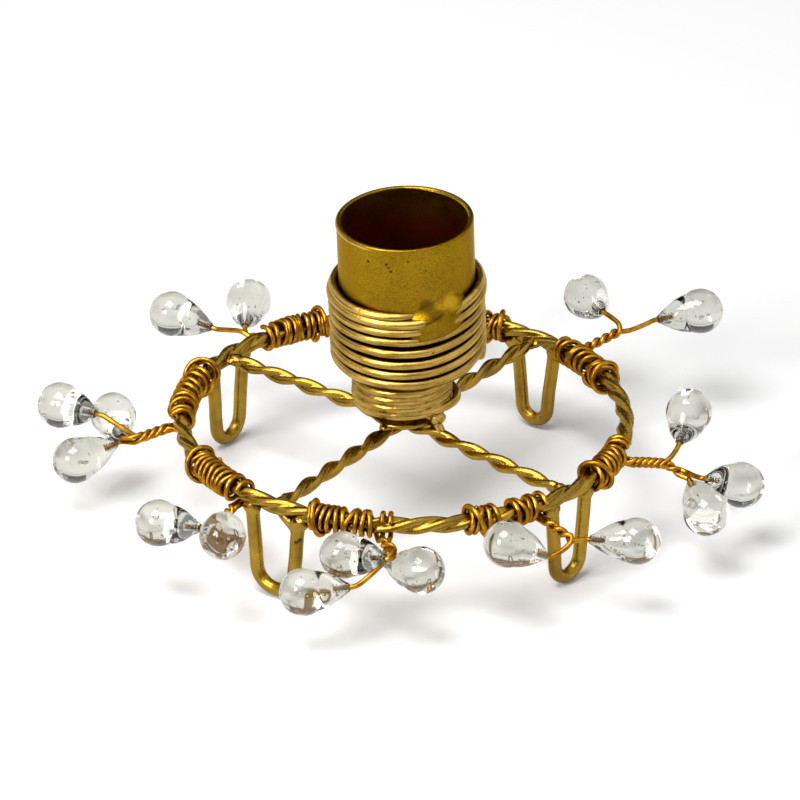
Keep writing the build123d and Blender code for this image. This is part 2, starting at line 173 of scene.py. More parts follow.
def ring_point(bearing, out, side, rise):
    return (outward(bearing) * (RING_RADIUS + out) + along(bearing) * side
            + UP * (RING_HEIGHT + rise))


def direction(bearing, heading, pitch):
    level = math.cos(math.radians(pitch))
    flat = (outward(bearing) * math.cos(math.radians(heading))
            + along(bearing) * math.sin(math.radians(heading)))
    return flat * level + UP * math.sin(math.radians(pitch))


# The cup's lean and axis, the middle of its rim, and two ways across it
CUP_LEAN = math.radians(3.17)
CUP_AXIS = (outward(225) * math.sin(CUP_LEAN) + UP * math.cos(CUP_LEAN)).normalized()
CUP_TOP = Vector((-0.24, 0.0, 57.16))
CUP_X = (Vector((1, 0, 0)) - CUP_AXIS * CUP_AXIS.x).normalized()
CUP_Y = CUP_AXIS.cross(CUP_X)


def cup_point(bearing, radius, height):
    """A point round the cup's axis, straight out from where the axis is at the height."""
    centre = CUP_TOP + CUP_AXIS * ((height - CUP_TOP.z) / CUP_AXIS.z)
    away = CUP_X * math.cos(math.radians(bearing)) + CUP_Y * math.sin(math.radians(bearing))
    return centre + away * radius


def ease_in(share):
    """A smooth pass from 0 to 1."""
    share = min(1.0, max(0.0, share))
    return share * share * (3 - 2 * share)


def wobble(point, scale, amount, seed=0.0):
    """A smooth small shift that depends on the place and the seeds alone."""
    return noise.noise_vector(point * scale + Vector((seed, -seed, seed * 0.5))) * amount


def hermite(start, start_way, end, end_way, share):
    reach = (end - start).length
    square = share * share
    cube = square * share
    return (start * (2 * cube - 3 * square + 1)
            + start_way * reach * (cube - 2 * square + share)
            + end * (3 * square - 2 * cube) + end_way * reach * (cube - square))


def spline(points, step):
    """A smooth curve through the points, sampled about every step."""
    ends = [points[0] * 2 - points[1]] + list(points) + [points[-1] * 2 - points[-2]]
    result = []
    for a, b, c, d in zip(ends, ends[1:], ends[2:], ends[3:]):
        count = max(1, round((c - b).length / step))
        for index in range(count):
            u = index / count
            result.append(0.5 * (2 * b + (c - a) * u + (2 * a - 5 * b + 4 * c - d) * u * u
                                 + (3 * b - a - 3 * c + d) * u ** 3))
    result.append(points[-1].copy())
    return result


class Builder:
    """Collects vertices in millimetres and faces of one mesh."""

    CAP_ANGLES = (30, 55, 75)
    CAP_DEPTH = 0.8
    BLOB_ROWS = 12
    BLOB_COLUMNS = 20
    BLOB_GRAIN = 0.9

    def __init__(self):
        self.vertices = []
        self.faces = []

    def add_rings(self, rings, closed=False):
        """Joins rings of equally many points; open ends get a face each."""
        base = len(self.vertices)
        size = len(rings[0])
        for ring in rings:
            self.vertices += ring
        count = len(rings)
        for index in range(count if closed else count - 1):
            low = base + index * size
            high = base + (index + 1) % count * size
            for corner in range(size):
                after = (corner + 1) % size
                self.faces.append((low + corner, low + after, high + after, high + corner))
        if not closed:
            last = base + (count - 1) * size
            self.faces.append(tuple(base + corner for corner in reversed(range(size))))
            self.faces.append(tuple(last + corner for corner in range(size)))

    def add_tube(self, points, radius, sides=12, closed=False):
        """A round wire along the points. radius is a number or a call of the share."""
        count = len(points)
        ways = []
        for index in range(count):
            before = points[(index - 1) % count] if closed else points[max(index - 1, 0)]
            after = points[(index + 1) % count if closed else min(index + 1, count - 1)]
            ways.append((after - before).normalized())
        flat = ways[0].cross(UP if abs(ways[0].z) < 0.9 else Vector((1, 0, 0)))
        rings = []
        for index, (point, way) in enumerate(zip(points, ways)):
            flat = (flat - way * flat.dot(way)).normalized()
            other = way.cross(flat)
            size = radius(index / (count - 1)) if callable(radius) else radius
            rings.append([point + (flat * math.cos(turn) + other * math.sin(turn)) * size
                          for turn in (2 * math.pi * corner / sides for corner in range(sides))])
        if not closed:
            rings = (self.cap(rings[0], points[0], -ways[0])[::-1] + rings
                     + self.cap(rings[-1], points[-1], ways[-1]))
        self.add_rings(rings, closed)

    def cap(self, ring, centre, way):
        """Smaller and smaller rings that round off a wire's end."""
        size = (ring[0] - centre).length
        caps = []
        for angle in self.CAP_ANGLES:
            shrink = math.cos(math.radians(angle))
            push = way * size * math.sin(math.radians(angle)) * self.CAP_DEPTH
            caps.append([centre + (point - centre) * shrink + push for point in ring])
        return caps

    def add_blob(self, centre, sizes, axes=axes_at(0), rough=0.0, seed=0.0):
        """A lump: an ellipsoid with half-lengths sizes along axes."""
        rings = []
        for row in range(1, self.BLOB_ROWS):
            tall = math.pi * row / self.BLOB_ROWS
            ring = []
            for column in range(self.BLOB_COLUMNS):
                turn = 2 * math.pi * column / self.BLOB_COLUMNS
                shape = (math.sin(tall) * math.cos(turn), math.sin(tall) * math.sin(turn),
                         math.cos(tall))
                point = centre.copy()
                for axis, size, share in zip(axes, sizes, shape):
                    point += axis * size * share
                ring.append(point + wobble(point, self.BLOB_GRAIN, rough, seed))
            rings.append(ring)
        self.add_rings(rings[::-1])

    def make(self, name, material, replaced, fuse=None, smooth_steps=2):
        """Makes the object. fuse is the grain at which its parts melt into one skin."""
        mesh = bpy.data.meshes.new(name)
        mesh.from_pydata([tuple(point * MM) for point in self.vertices], [], self.faces)
        mesh.validate()
        obj = bpy.data.objects.new(name, mesh)
        bpy.context.scene.collection.objects.link(obj)
        mesh.materials.append(material)
        if fuse:
            remesh = obj.modifiers.new("Fuse", "REMESH")
            remesh.mode = "VOXEL"
            remesh.voxel_size = fuse * MM
            remesh.use_smooth_shade = True
            soften = obj.modifiers.new("Soften", "SMOOTH")
            soften.factor = 0.5
            soften.iterations = smooth_steps
        else:
            mesh.polygons.foreach_set("use_smooth", [True] * len(mesh.polygons))
        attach(obj, "root")
        if replaced:
            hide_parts(*replaced)


BLACK, WHITE = (0, 0, 0), (1, 1, 1)


class Shader:
    """A small helper round one node material. Its lengths are in metres."""

    # The cup's inside ends between these distances from its axis
    INSIDE_RADII = (0.0117, 0.0113)

    def __init__(self, name):
        self.material = bpy.data.materials.new(name)
        self.material.use_nodes = True
        self.nodes = self.material.node_tree.nodes
        self.links = self.material.node_tree.links
        self.surface = self.nodes["Principled BSDF"]
        coordinates = self.nodes.new("ShaderNodeTexCoord")
        self.place = coordinates.outputs["Object"]

    def noise(self, scale, detail=3.0, rough=0.6):
        node = self.nodes.new("ShaderNodeTexNoise")
        node.inputs["Scale"].default_value = scale
        node.inputs["Detail"].default_value = detail
        node.inputs["Roughness"].default_value = rough
        self.links.new(self.place, node.inputs["Vector"])
        return node.outputs["Fac"]

    def dots(self, scale, size):
        """1 inside scattered dots, 0 elsewhere."""
        node = self.nodes.new("ShaderNodeTexVoronoi")
        node.inputs["Scale"].default_value = scale
        self.links.new(self.place, node.inputs["Vector"])
        return self.ramp(node.outputs["Distance"], [(size * 0.7, WHITE), (size, BLACK)])

    def ramp(self, source, stops):
        node = self.nodes.new("ShaderNodeValToRGB")
        elements = node.color_ramp.elements
        while len(elements) < len(stops):
            elements.new(0.5)
        for element, (position, colour) in zip(elements, stops):
            element.position = position
            element.color = (*colour, 1)
        self.links.new(source, node.inputs["Fac"])
        return node.outputs["Color"]

    def span(self, source, low, high):
        """Stretches 0 to 1 to low to high."""
        node = self.nodes.new("ShaderNodeMapRange")
        node.inputs["To Min"].default_value = low
        node.inputs["To Max"].default_value = high
        self.links.new(source, node.inputs["Value"])
        return node.outputs["Result"]

    def fade(self, source, none, full):
        """0 where the source is at none, 1 where it is at full."""
        node = self.nodes.new("ShaderNodeMapRange")
        node.inputs["From Min"].default_value = none
        node.inputs["From Max"].default_value = full
        self.links.new(source, node.inputs["Value"])
        return node.outputs["Result"]

    def mix(self, share, first, second, blend="MIX"):
        node = self.nodes.new("ShaderNodeMix")
        node.data_type = "RGBA"
        node.blend_type = blend
        for name, value in (("Factor", share), ("A", first), ("B", second)):
            socket = node.inputs[name]
            if isinstance(value, bpy.types.NodeSocket):
                self.links.new(value, socket)
            elif isinstance(value, tuple):
                socket.default_value = (*value, 1)
            else:
                socket.default_value = value
        for output in node.outputs:
            if output.type == "RGBA":
                return output

    def crease_shade(self, distance, own=False):
        """Mask of painted shade: 0 far in a fold, 1 on open surface. own leaves other pieces out.
        """
        node = self.nodes.new("ShaderNodeAmbientOcclusion")
        node.inputs["Distance"].default_value = distance
        node.only_local = own
        node.samples = 8
        return node.outputs["AO"]

    def vector_math(self, operation, source, other=None):
        node = self.nodes.new("ShaderNodeVectorMath")
        node.operation = operation
        self.links.new(source, node.inputs[0])
        if other is not None:
            node.inputs[1].default_value = other
        return node.outputs

    def cup_inside(self, *edges):
        """1 inside the cup, 0 outside. Each edge is a pair of depths between which it fades in."""
        offset = self.vector_math("SUBTRACT", self.place, CUP_TOP * MM)["Vector"]
        across = self.vector_math("CROSS_PRODUCT", offset, CUP_AXIS)["Vector"]
        depth = self.vector_math("DOT_PRODUCT", offset, CUP_AXIS)["Value"]
        radius = self.vector_math("LENGTH", across)["Value"]
        result = self.fade(radius, *self.INSIDE_RADII)
        for edge in edges:
            product = self.nodes.new("ShaderNodeMath")
            product.operation = "MULTIPLY"
            self.links.new(result, product.inputs[0])
            self.links.new(self.fade(depth, *edge), product.inputs[1])
            result = product.outputs["Value"]
        return result

    def speck(self, point, size):
        """1 inside a small speck at a point in millimetres, 0 elsewhere."""
        distance = self.vector_math("DISTANCE", self.place, point * MM)["Value"]
        return self.fade(distance, size * MM * 1.3, size * MM * 0.7)

    def bump(self, layers):
        last = None
        for source, distance in layers:
            node = self.nodes.new("ShaderNodeBump")
            node.inputs["Distance"].default_value = distance
            self.links.new(source, node.inputs["Height"])
            if last:
                self.links.new(last, node.inputs["Normal"])
            last = node.outputs["Normal"]
        self.links.new(last, self.surface.inputs["Normal"])

    def feed(self, socket, source):
        self.links.new(source, self.surface.inputs[socket])

    def type_in(self, socket, value):
        self.surface.inputs[socket].default_value = value


CHIP_COLOUR = (0.030, 0.014, 0.003)
SPECK_COLOUR = (0.020, 0.008, 0.001)
# Painted shade on the cup's inner floor
CUP_FLOOR_SHADE = (0.022, 0.008, 0.002)
# How strongly the patches of painted shade and highlight cover the paint
PAINTED_PATCH_STRENGTH = 0.75

# Depths below the cup's rim, in metres, between which its painted inside shade, the darker
# painted shade at its bottom and the outside of its bottom begin
INSIDE_DEPTHS = (-0.0012, -0.0075)
CUP_FLOOR_DEPTHS = (-0.0262, -0.0270)
UNDERSIDE_DEPTHS = (-0.0278, -0.0274)


def gold_paint(name, light, dark, painted_shade_colour, grit, rough, coat, inside=None, specks=(), shade_and_highlight=()):
    """Satin gold paint: cloudy, finely speckled, with painted shade in its folds, a few chips."""
    shader = Shader(name)
    clouds = shader.noise(scale=180, detail=2.0)
    grain = shader.noise(scale=5200, detail=2.0, rough=0.7)
    colour = shader.ramp(clouds, [(0.30, dark), (0.68, light)])
    speckle = shader.ramp(grain, [(0.36, grit), (0.58, WHITE)])
    colour = shader.mix(0.8, colour, speckle, "MULTIPLY")
    # Painted shade: the paint turns darker where nearby surfaces hem it in, as in folds and joints
    crease_shade = shader.ramp(shader.crease_shade(distance=0.0011), [(0.38, WHITE), (0.92, BLACK)])
    colour = shader.mix(crease_shade, colour, painted_shade_colour)
    colour = shader.mix(shader.dots(scale=250, size=0.060), colour, CHIP_COLOUR)
    # Patches of painted shade and painted highlight
    for point, size, tint in shade_and_highlight:
        share = shader.span(shader.speck(point, size), 0.0, PAINTED_PATCH_STRENGTH)
        colour = shader.mix(share, colour, tint)
    for point, size in specks:
        colour = shader.mix(shader.speck(point, size), colour, SPECK_COLOUR)
    # Painted shade and painted inner reflection inside the cup, then darker painted shade on its
    # floor
    if inside:
        for depths, tint in ((INSIDE_DEPTHS, inside), (CUP_FLOOR_DEPTHS, CUP_FLOOR_SHADE)):
            colour = shader.mix(shader.cup_inside(depths, UNDERSIDE_DEPTHS), colour, tint)
    shader.feed("Base Color", colour)
    shader.feed("Roughness", shader.span(clouds, *rough))
    shader.type_in("Metallic", 1.0)
    shader.type_in("Specular Tint", (0.80, 0.62, 0.22, 1))
    shader.type_in("Coat Weight", coat)
    shader.type_in("Coat Roughness", 0.12)
    shader.bump([(shader.noise(scale=420, detail=2.0), 0.00012), (grain, 0.00003)])
    return shader.material


def copper_wire():
    """Bare copper-gold wire, slightly dulled, with fine drawn marks and painted shade between its
    loops.
    """
    shader = Shader("copper_wire")
    clouds = shader.noise(scale=700, detail=2.0)
    marks = shader.noise(scale=4200, detail=1.0, rough=0.5)
    colour = shader.ramp(clouds, [(0.30, (0.22, 0.082, 0.007)), (0.55, (0.42, 0.200, 0.014)),
                                  (0.75, (0.60, 0.36, 0.045))])
    # Painted shade, near black-brown, where the wire's own loops hem it in
    crease_shade = shader.ramp(shader.crease_shade(distance=0.0008, own=True), [(0.28, WHITE), (0.9, BLACK)])
    colour = shader.mix(crease_shade, colour, (0.055, 0.020, 0.004))
    shader.feed("Base Color", colour)
    shader.feed("Roughness", shader.span(marks, 0.22, 0.40))
    shader.type_in("Metallic", 1.0)
    shader.type_in("Specular Tint", (0.80, 0.55, 0.25, 1))
    shader.bump([(clouds, 0.00004), (marks, 0.00001)])
    return shader.material


def clear_glass():
    """Clear cast glass: a slightly uneven skin."""
    shader = Shader("clear_glass")
    shader.type_in("Transmission Weight", 1.0)
    shader.type_in("IOR", 1.5)
    waves = shader.noise(scale=230, detail=1.0, rough=0.4)
    tints = shader.ramp(waves, [(0.35, (0.61, 0.60, 0.53)), (0.65, (0.70, 0.70, 0.64))])
    shader.feed("Base Color", tints)
    shader.feed("Roughness", shader.span(shader.noise(scale=900, detail=2.0), 0.0, 0.05))
    shader.bump([(waves, 0.00025)])
    return shader.material


# Dark specks, each a place and a radius: on the cup, where the last three make a scratch,
# and on a leg of the front left foot
CUP_SPECKS = [(cup_point(bearing, 12.0, height), size) for bearing, height, size in (
    (238.5, 54.4, 0.26), (273.0, 55.1, 0.22), (287.5, 53.0, 0.22),
    (255.0, 54.4, 0.26), (257.0, 53.8, 0.22), (258.8, 53.1, 0.26))]
FOOT_SPECKS = [(Vector((-17.7, -36.1, 12.9)), 0.40), (Vector((-18.3, -36.2, 12.5)), 0.34),
               (Vector((-18.7, -36.2, 16.7)), 0.45)]
# In the pool, painted shade in two parts at the end of the top turn, and a painted highlight
CUP_SHADE_AND_HIGHLIGHT = [(cup_point(287, 12.4, 45.9), 1.35, (0.085, 0.042, 0.001)),
               (cup_point(293, 13.4, 44.6), 1.2, (0.085, 0.042, 0.001)),
               (cup_point(309, 12.9, 45.8), 1.6, (0.50, 0.300, 0.014))]

GOLD = gold_paint(
    "gold_paint", light=(0.43, 0.258, 0.016), dark=(0.24, 0.137, 0.004),
    painted_shade_colour=(0.040, 0.014, 0.001), grit=(0.70, 0.66, 0.52), rough=(0.21, 0.32), coat=0.4,
    specks=FOOT_SPECKS)
WOUND_GOLD = gold_paint(
    "wound_gold", light=(0.62, 0.405, 0.085), dark=(0.33, 0.198, 0.012),
    painted_shade_colour=(0.045, 0.016, 0.001), grit=(0.78, 0.74, 0.60), rough=(0.20, 0.30), coat=0.5)
# Its inside colour is painted shade and inner reflection; its pool patches are painted shade and
# highlight
CUP_GOLD = gold_paint(
    "cup_gold", light=(0.37, 0.216, 0.005), dark=(0.28, 0.158, 0.003),
    painted_shade_colour=(0.045, 0.012, 0.001), grit=(0.28, 0.25, 0.16), rough=(0.26, 0.36), coat=0.08,
    inside=(0.40, 0.075, 0.004), specks=CUP_SPECKS, shade_and_highlight=CUP_SHADE_AND_HIGHLIGHT)
COPPER = copper_wire()
GLASS = clear_glass()


def ring():
    """The ring's three twisted strands, with a lump of braze where each arm ends."""
    builder = Builder()
    steps = 720
    for number in range(3):
        points = []
        for index in range(steps):
            bearing = index * 360 / steps
            phase = math.radians(number * 120 + RING_TWISTS * bearing)
            point = ring_point(bearing, STRAND_OFFSET * math.cos(phase), 0,
                               STRAND_OFFSET * math.sin(phase))
            points.append(point + wobble(point, scale=0.35, amount=0.10, seed=number))
        builder.add_tube(points, STRAND_RADIUS, closed=True)
    for bearing, _ in ARMS.values():
        builder.add_blob(ring_point(bearing, -1.5, 0, -0.35), (1.1, 1.9, 0.9),
                         axes_at(bearing), rough=0.25, seed=bearing)
    builder.make("ring", GOLD, ("ring_strand_1", "ring_strand_2", "ring_strand_3"),
                 fuse=0.2, smooth_steps=7)


def arm(name, bearing, first_angle):
    """Two twisted wires from the middle to the ring, which close up at their outer end."""
    builder = Builder()
    inner, outer = 0.6, RING_RADIUS - 1.7
    # ARMS states the twist's angle at this distance from the middle
    angle_from = 2.3
    close_at, close_over = outer + 0.9, 3
    steps = 140
    for half_turn in (0, 180):
        points = []
        for index in range(steps + 1):
            distance = inner + (outer - inner) * index / steps
            turned = 360 * (distance - angle_from) / ARM_LAY
            angle = math.radians(first_angle + half_turn - turned)
            offset = ARM_OFFSET * min(1, (close_at - distance) / close_over)
            point = (outward(bearing) * distance + along(bearing) * offset * math.cos(angle)
                     + UP * (ARM_HEIGHT + offset * math.sin(angle)))
            points.append(point + wobble(point, scale=0.25, amount=0.12, seed=half_turn))
        builder.add_tube(points, ARM_RADIUS)
    end = outward(bearing) * (outer - 0.2) + UP * (ARM_HEIGHT + 0.15)
    builder.add_blob(end, (1.6, 1.25, 1.15), axes_at(bearing), rough=0.3, seed=bearing)
    builder.make(name + "_twist", GOLD, (name,), fuse=0.16, smooth_steps=8)


def foot(name, bearing, radius, top_half, bottom_half):
    """A rod bent to a hairpin, with a lump or web of braze where each leg meets the ring."""
    builder = Builder()
    across = along(bearing)
    base = outward(bearing) * RING_RADIUS
    bend_height = radius + bottom_half
    seat = RING_HEIGHT - 1.2
    leg_steps, bend_steps = 18, 24
    run = math.hypot(top_half, seat - bend_height)
    tilt = math.atan2(top_half, seat - bend_height) - math.asin(bottom_half / run)
    touch_side = bottom_half * math.cos(tilt)
    touch_height = bend_height - bottom_half * math.sin(tilt)
    legs = []
    for hand in (-1, 1):
        leg = []
        for index in range(leg_steps):
            height = seat + (touch_height - seat) * index / leg_steps
            side = touch_side + (height - touch_height) * math.tan(tilt)
            leg.append(base + across * hand * side + UP * height)
        legs.append(leg)
    bend = []
    for index in range(bend_steps + 1):
        turn = math.pi + tilt + (math.pi - 2 * tilt) * index / bend_steps
        bend.append(base + across * bottom_half * math.cos(turn)
                    + UP * (bend_height + bottom_half * math.sin(turn)))
    path = legs[0] + bend + legs[1][::-1]
    path = [point + wobble(point, scale=0.2, amount=0.12, seed=3) for point in path]
    builder.add_tube(path, radius, sides=16)
    for hand in (-1, 1):
        top = base + across * hand * top_half + UP * (RING_HEIGHT - 1.5)
        builder.add_blob(top + across * hand * 0.15 + UP * -0.3, (1.2, 1.9, 1.5),
                         axes_at(bearing), rough=0.25, seed=hand + bearing)
        if (name, hand) in WEBS:
            away = across * hand * WEBS[name, hand]
            web = [top + UP * -3.0, top + away * 1.6 + UP * -0.9, top + away * 4.2 + UP * 0.8]
            builder.add_tube(spline(web, 0.4),
                             lambda share: 0.75 + 0.3 * math.sin(math.pi * share))
    builder.make(name + "_rod", GOLD, (name,), fuse=0.2, smooth_steps=6)


# The cup's winding from its start at the bottom: bearing, counted on from turn to turn,
# height and radius
CUP_TURNS = [
    (-10, 30.6, 12.8), (90, 31.0, 12.9), (180, 31.4, 12.9), (270, 31.0, 12.95),
    (350, 32.3, 12.9), (450, 33.0, 12.9), (540, 33.3, 12.95), (630, 33.0, 12.95),
    (710, 34.2, 12.95), (810, 34.9, 12.9), (900, 35.2, 12.9), (990, 35.0, 12.95),
    (1070, 36.3, 12.9), (1170, 36.9, 12.9), (1260, 37.2, 12.95), (1350, 37.3, 12.95),
    (1430, 38.5, 12.95), (1530, 38.9, 12.9), (1620, 39.2, 12.95), (1710, 39.6, 12.9),
    (1790, 40.5, 12.9), (1890, 40.9, 12.9), (1980, 41.3, 13.0), (2070, 41.5, 12.95),
    (2120, 42.3, 12.9), (2150, 43.0, 13.2), (2200, 44.2, 13.7), (2250, 44.6, 13.4),
    (2340, 43.4, 13.2), (2430, 43.0, 12.95), (2500, 44.6, 12.9), (2610, 45.0, 12.85),
    (2700, 44.6, 12.75), (2745, 44.25, 12.72), (2775, 44.1, 12.4), (2802, 44.0, 11.5)]


def cup_winding():
    """The thick wire round the cup, and a second, short one that ends on the front."""
    builder = Builder()
    knots = []
    for (b0, z0, r0), (b1, z1, r1) in zip(CUP_TURNS, CUP_TURNS[1:]):
        steps = max(2, round((b1 - b0) / 15))
        for index in range(steps):
            share = index / steps
            ease = ease_in(share)
            bearing = b0 + (b1 - b0) * share
            point = cup_point(bearing, r0 + (r1 - r0) * ease, z0 + (z1 - z0) * ease)
            knots.append(point + wobble(point, scale=0.22, amount=0.10, seed=bearing / 900))
    bearing, height, radius = CUP_TURNS[-1]
    knots.append(cup_point(bearing, radius, height))
    builder.add_tube(spline(knots, 1.1), THICK_WIRE_RADIUS, sides=14)
    # the short wire goes to the left in steps of 12 degrees, out of the wall in the first three
    short = [cup_point(280 - index * 12, 13.0 - 1.2 * ease_in(1 - index / 3), 39.5)
             for index in range(13)]
    builder.add_tube(spline(short, 1.1), SHORT_WIRE_RADIUS, sides=14)
    builder.make("cup_winding_wire", WOUND_GOLD, ("cup_winding",))


def lip():
    """The cup's rounded edge."""
    builder = Builder()
    middle_radius, below_rim, thickness = 11.58, 0.50, 0.48
    points = [cup_point(bearing, middle_radius, CUP_TOP.z - below_rim)
              for bearing in range(0, 360, 3)]
    points = [point + wobble(point, scale=0.3, amount=0.04, seed=11) for point in points]
    builder.add_tube(points, thickness, sides=16, closed=True)
    builder.make("cup_lip", WOUND_GOLD, ())


def pool():
    """The smooth apron of braze and paint from the cup's wall down on to the upper turns."""
    builder = Builder()
    columns, rows = 60, 24
    # bearings: its start and width, and the swell's rise, end and fall
    start, width = 256, 98
    rise_over, fall_end, fall_over = 32, 348, 54
    # heights: its upper edge's start, swell and rise, and its lower edge's start and rise
    top_edge, top_swell, top_rise = 44.3, 3.2, 1.2
    low_edge, low_rise = 39.4, 2.4
    # distances from the cup's axis: its front, its back, and its swell at the top and below
    wall, back, wall_swell, apron = 11.90, 11.75, 0.10, 2.08
    # where it is steepest, and the bulge where it meets the turns at its right
    steep_bearing, steep_width, least_steep, more_steep = 310, 16, 1.5, 1.4
    bulge_bearing, bulge_width, bulge_height, bulge_rise, bulge_out = 313, 11, 45.6, 1.5, 0.50
    rings = []
    for column in range(columns + 1):
        share = column / columns
        bearing = start + width * share
        swell = ease_in((bearing - start) / rise_over) * ease_in((fall_end - bearing) / fall_over)
        top = top_edge + top_swell * swell * (0.5 + 0.6 * share) + top_rise * share
        low = low_edge + low_rise * share
        peak = math.exp(-((bearing - steep_bearing) / steep_width) ** 2)
        steep = least_steep + more_steep * peak
        ring = []
        for row in range(rows + 1):
            fall = row / rows
            height = top + (low - top) * fall
            out = wall + wall_swell * swell
            out += apron * swell * (1 - math.cos(math.pi * min(1, fall * steep))) / 2
            out += bulge_out * swell * math.exp(-((bearing - bulge_bearing) / bulge_width) ** 2
                                                - ((height - bulge_height) / bulge_rise) ** 2)
            ring.append(cup_point(bearing, out, height))
        ring.append(cup_point(bearing, back, low))
        ring.append(cup_point(bearing, back, top))
        rings.append(ring)
    builder.add_rings(rings)
    builder.make("cup_pool", CUP_GOLD, ("cup_winding",))


def neck_winding():
    """The thick wire of the neck, its lower end, and lumps of braze on it and in its top."""
    builder = Builder()
    steps = 99
    loops, lay = 4.35, 1.44
    start, foot_height = 312, 21.15
    first_radius, widening = 6.9, 1.25
    aside = Vector((0.3, 0, 0))
    # the second turn swings out where the first one ends
    bulge_turn, bulge_turns, bulge_out = 1.12, 0.1, 1.5
    knots = []
    for index in range(steps + 1):
        share = index / steps
        turns = loops * share
        bearing = start + 360 * turns
        radius = first_radius + widening * min(turns, 1)
        height = foot_height + lay * turns
        bulge = math.exp(-((turns - bulge_turn) / bulge_turns) ** 2) * bulge_out
        point = outward(bearing) * (radius + bulge) + UP * height - aside
        knots.append(point + wobble(point, scale=0.25, amount=0.12, seed=7))
    builder.add_tube(spline(knots, 0.9), NECK_WIRE_RADIUS, sides=14)
    tail = [knots[0]]
    for distance, height in ((7.6, 20.4), (8.2, 19.4), (8.9, 18.4)):
        tail.append(outward(318) * distance + UP * height)
    builder.add_tube(spline(tail, 0.5), TAIL_RADIUS)
    # each lump's bearing, distance, height, half-lengths along, out and up, roughness and seed
    for bearing, distance, height, sizes, rough, seed in (
            (262, 7.9, 25.3, (3.0, 0.7, 1.1), 0.2, 3), (290, 7.9, 25.0, (2.2, 0.7, 0.8), 0.2, 5),
            (318, 8.2, 20.8, (1.6, 1.3, 1.3), 0.3, 9)):
        builder.add_blob(outward(bearing) * distance + UP * height, sizes,
                         (along(bearing), outward(bearing), UP), rough, seed)
    # the braze on which the cup's bottom sits
    builder.add_blob(Vector((0.2, 0.3, 27.3)), (7.4, 7.4, 2.4), (CUP_X, CUP_Y, CUP_AXIS),
                     rough=0.2, seed=6)
    builder.make("neck_winding_wire", WOUND_GOLD, ("neck_winding",),
                 fuse=0.14, smooth_steps=5)


def hub():
    """The lump of braze under the neck in which the arms meet."""
    builder = Builder()
    builder.add_blob(Vector((0, 0, 18.9)), (6.2, 6.2, 1.15), rough=0.4, seed=2)
    builder.add_blob(Vector((0, 0, 17.3)), (2.8, 2.8, 1.5), rough=0.4, seed=4)
    for bearing, _ in ARMS.values():
        builder.add_blob(outward(bearing) * 4.6 + UP * 18.3, (2.6, 1.2, 1.0),
                         axes_at(bearing), rough=0.3, seed=bearing)
    builder.make("hub_lump", GOLD, ("hub_braze",), fuse=0.2, smooth_steps=3)


# The points of one loop of a wrap, and the loops that are laid over its first ones
LOOP_STEPS = 18
OVERLAY_LOOPS = 1.3
# How far the laid-over wire is lifted, and how many pitches along the wrap its end is
OVERLAY_LIFT = 0.82
OVERLAY_PITCHES = 2.6
# The most that a loop leans, as a bearing, and is lifted, and the share of the way to the
# next lean that a point takes
LEAN_LIMIT = 1.9
LIFT_LIMIT = 0.18
LEAN_EASE = 0.11


def wrap_points(wraps, leave, chance):
    """Uneven loops round the ring, from an end laid over the first ones to where it leaves."""
    total = sum(loops for _, _, loops in wraps)
    points = []
    done = 0
    lean = lift = 0.0
    for start, end, loops in wraps:
        pitch = (end - start) / loops
        tilt = chance.uniform(-1.0, 1.0)
        first = -OVERLAY_LOOPS if done == 0 else 0.0
        steps = round((loops - first) * LOOP_STEPS)
        for index in range(steps + 1):
            turn = first + (loops - first) * index / steps
            phase = math.radians(leave + 360 * (done + turn - total))
            if index % LOOP_STEPS == 0:
                lean = chance.uniform(-LEAN_LIMIT, LEAN_LIMIT)
                lift = chance.uniform(0.0, LIFT_LIMIT)
            tilt += (lean - tilt) * LEAN_EASE
            over = max(0.0, -turn / OVERLAY_LOOPS)
            advance = pitch * (turn if turn > 0 else OVERLAY_PITCHES * over ** 1.5)
            sway = (tilt * 0.85 + over * 0.9) * math.cos(phase + 0.7)
            radius = WRAP_RADIUS + lift + OVERLAY_LIFT * min(1.0, over * 2.2)
            point = ring_point(start + advance + sway, radius * math.cos(phase), 0,
                               radius * math.sin(phase))
            points.append(point + wobble(point, scale=0.5, amount=0.12, seed=start))
        done += loops
    return points


def hook_points(bearing, leave):
    """A wire hooked over the ring, to where it leaves."""
    points = []
    steps = 12
    radius = WRAP_RADIUS + 0.05
    for index in range(steps + 1):
        phase = math.radians(leave + HOOK_TURN * (index / steps - 1))
        points.append(ring_point(bearing, radius * math.cos(phase), 0, radius * math.sin(phase)))
    return points


def stem_points(start, start_way, end, end_way, spread, first_angle, turn, gather):
    """One wire of a twisted stem, from the share gather on."""
    points = []
    count = max(6, round(abs(turn) / STEM_STEP))
    for index in range(count + 1):
        share = gather + (1 - gather) * index / count
        middle = hermite(start, start_way, end, end_way, share)
        ahead = hermite(start, start_way, end, end_way, share + 0.001)
        way = (ahead - middle).normalized()
        side = UP.cross(way).normalized()
        angle = math.radians(first_angle + turn * (share - gather) / (1 - gather))
        spoke = side * math.cos(angle) + way.cross(side) * math.sin(angle)
        points.append(middle + spoke * spread)
    return points


# For a stem of two or three wires: how far each runs from its middle, and its first angles
STEM_SPREADS = {2: FINE_RADIUS * 1.02, 3: FINE_RADIUS * 1.16}
STEM_ANGLES = {2: (180, 0), 3: (150, 270, 30)}
# How strongly a wire's free end keeps its way where it leaves the stem and meets the drop
FREE_PULL = 0.8
# A wire's last points, from the drop's tip on: the last two are inside its hole
SEAT_DISTANCES = (-0.5, 0.8, 3.0)


